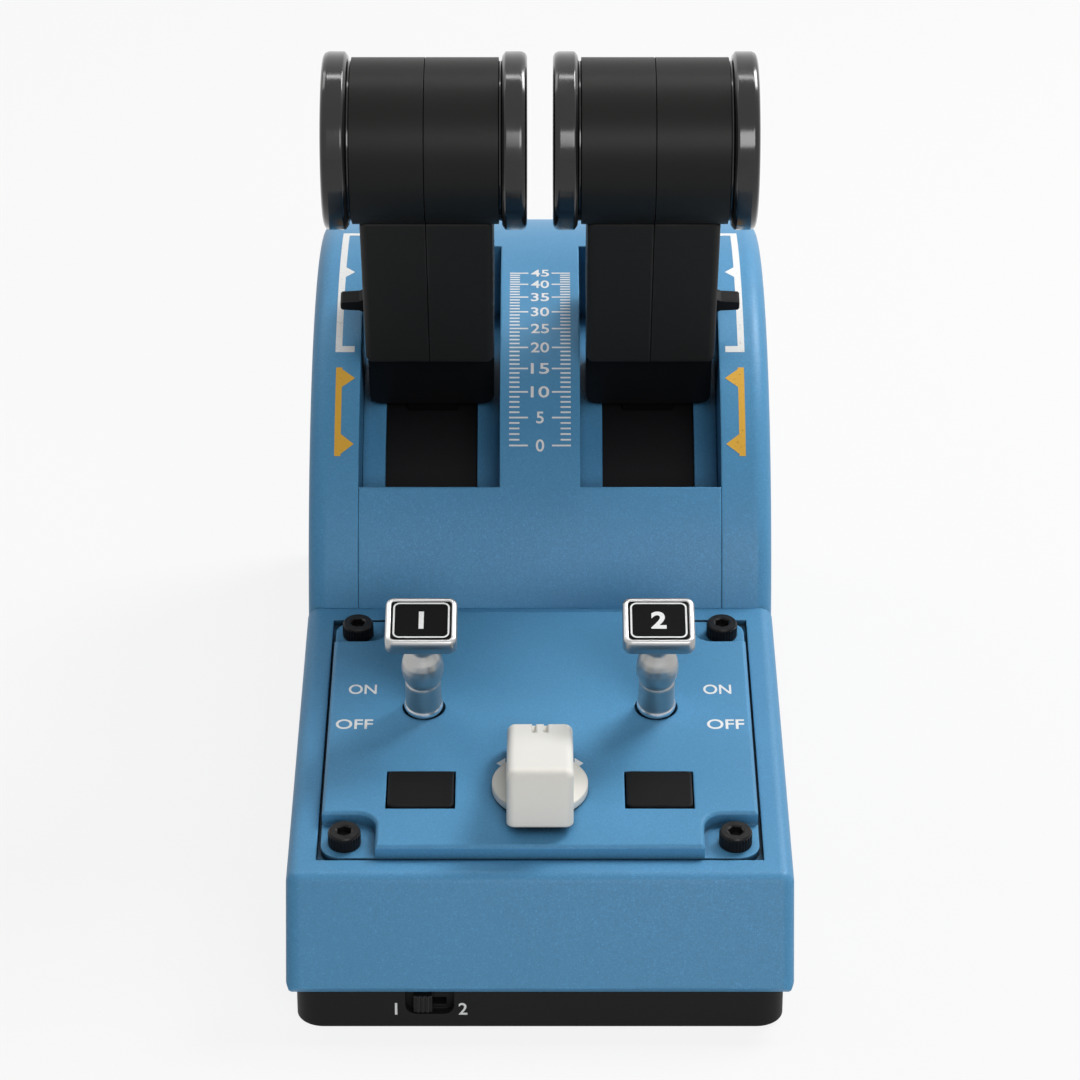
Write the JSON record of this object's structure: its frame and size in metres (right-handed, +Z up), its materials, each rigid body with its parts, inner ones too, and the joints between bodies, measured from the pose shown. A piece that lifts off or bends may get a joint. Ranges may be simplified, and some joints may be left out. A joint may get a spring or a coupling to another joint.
{
  "type": "two-lever throttle quadrant",
  "caption": "Desktop two-lever throttle quadrant with a domed blue housing, barrel grips, toggles, a selector knob, push buttons and a slide switch.",
  "frame": {"origin": "under the middle of the footprint, on the surface that the feet stand on", "axes": "+X to the pilot's right, +Y away from the pilot, +Z up"},
  "size_m": [0.11, 0.2306, 0.1745],
  "materials": {
    "blue_shell": "satin with a fine metallic grain",
    "black_plastic": "fine matte",
    "foot_rubber": "matte",
    "bright_steel": "plain",
    "black_steel": "black oxide",
    "insert_brass": "turned",
    "white_acetal": "smooth",
    "circuit_board": "lacquered",
    "lever_plastic": "fine satin",
    "ring_gloss": "gloss black",
    "arm_aluminium": "milled",
    "button_plastic": "satin",
    "satin_metal": "bead blasted satin",
    "cap_metal": "satin",
    "label_black": "printed",
    "knob_white": "satin off-white"
  },
  "bodies": {
    "housing": {"base_pan": "black_plastic", "rubber_feet": "foot_rubber", "case_screws": "bright_steel", "mount_inserts": "insert_brass", "front_housing": "blue_shell", "dome_centre": "blue_shell", "left_cheek": "blue_shell", "right_cheek": "blue_shell", "deck_panel": "blue_shell", "deck_screws": "black_steel", "switch_board": "circuit_board", "toggle_switch_cases": "black_plastic", "rotary_switch_case": "black_plastic", "button_switches": "bright_steel", "slide_switch_case": "black_plastic", "lever_axle": "bright_steel", "side_brackets": "black_plastic", "centre_bracket": "black_plastic", "axle_clips": "bright_steel", "thrust_washers": "white_acetal", "main_board": "circuit_board", "usb_socket": "bright_steel", "lever_sensors": "circuit_board"},
    "lever_1": {"lever_1_arm": "arm_aluminium", "lever_1_foot": "lever_plastic", "lever_1_shroud_inner": "lever_plastic", "lever_1_shroud_outer": "lever_plastic", "lever_1_barrel_inner": "lever_plastic", "lever_1_barrel_outer": "lever_plastic", "lever_1_ring_inner": "ring_gloss", "lever_1_ring_outer": "ring_gloss", "lever_1_pointer": "lever_plastic", "lever_1_magnet": "bright_steel", "lever_1_button_switch": "lever_plastic", "lever_1_shutter": "lever_plastic"},
    "lever_1_trim": {"lever_1_button": "button_plastic"},
    "toggle_1": {"toggle_1_stem": "satin_metal", "toggle_1_cap": "cap_metal", "toggle_1_label": "label_black"},
    "push_1": {"push_button_1": "button_plastic"},
    "lever_2": {"lever_2_arm": "arm_aluminium", "lever_2_foot": "lever_plastic", "lever_2_shroud_inner": "lever_plastic", "lever_2_shroud_outer": "lever_plastic", "lever_2_barrel_inner": "lever_plastic", "lever_2_barrel_outer": "lever_plastic", "lever_2_ring_inner": "ring_gloss", "lever_2_ring_outer": "ring_gloss", "lever_2_pointer": "lever_plastic", "lever_2_magnet": "bright_steel", "lever_2_button_switch": "lever_plastic", "lever_2_shutter": "lever_plastic"},
    "lever_2_trim": {"lever_2_button": "button_plastic"},
    "toggle_2": {"toggle_2_stem": "satin_metal", "toggle_2_cap": "cap_metal", "toggle_2_label": "label_black"},
    "push_2": {"push_button_2": "button_plastic"},
    "selector": {"selector_knob": "knob_white", "knob_skirt": "knob_white"},
    "bank_slide": {"bank_slider": "button_plastic"}
  },
  "joints": [
    {"name": "lever_1_throttle", "type": "hinge", "parent": "housing", "child": "lever_1", "pos_m": [-0.0263, 0.07853, 0.0162], "axis": [-1, 0, 0], "range_deg": [-21.3, 14.5]},
    {"name": "lever_1_trim_press", "type": "slide", "parent": "lever_1", "child": "lever_1_trim", "axis": [1, 0, 0], "range_m": [0, 0.001], "stiffness_N_per_m": 400, "springref_m": -0.001},
    {"name": "toggle_1_flip", "type": "hinge", "parent": "housing", "child": "toggle_1", "pos_m": [-0.02635, -0.04787, 0.04075], "axis": [-1, 0, 0], "range_deg": [0, 24]},
    {"name": "push_1_press", "type": "slide", "parent": "housing", "child": "push_1", "axis": [0, 0.1125, -0.9937], "range_m": [0, 0.0008], "stiffness_N_per_m": 300, "springref_m": -0.001},
    {"name": "lever_2_throttle", "type": "hinge", "parent": "housing", "child": "lever_2", "pos_m": [0.0263, 0.07853, 0.0162], "axis": [-1, 0, 0], "range_deg": [-21.3, 14.5]},
    {"name": "lever_2_trim_press", "type": "slide", "parent": "lever_2", "child": "lever_2_trim", "axis": [-1, 0, 0], "range_m": [0, 0.001], "stiffness_N_per_m": 400, "springref_m": -0.001},
    {"name": "toggle_2_flip", "type": "hinge", "parent": "housing", "child": "toggle_2", "pos_m": [0.02635, -0.04787, 0.04075], "axis": [-1, 0, 0], "range_deg": [0, 24]},
    {"name": "push_2_press", "type": "slide", "parent": "housing", "child": "push_2", "axis": [0, 0.1125, -0.9937], "range_m": [0, 0.0008], "stiffness_N_per_m": 300, "springref_m": -0.001},
    {"name": "selector_turn", "type": "hinge", "parent": "housing", "child": "selector", "pos_m": [0, -0.07915, 0.03973], "axis": [0, -0.1125, 0.9937], "range_deg": [-40, 40]},
    {"name": "bank_select", "type": "slide", "parent": "housing", "child": "bank_slide", "axis": [1, 0, 0], "range_m": [0, 0.003]}
  ]
}
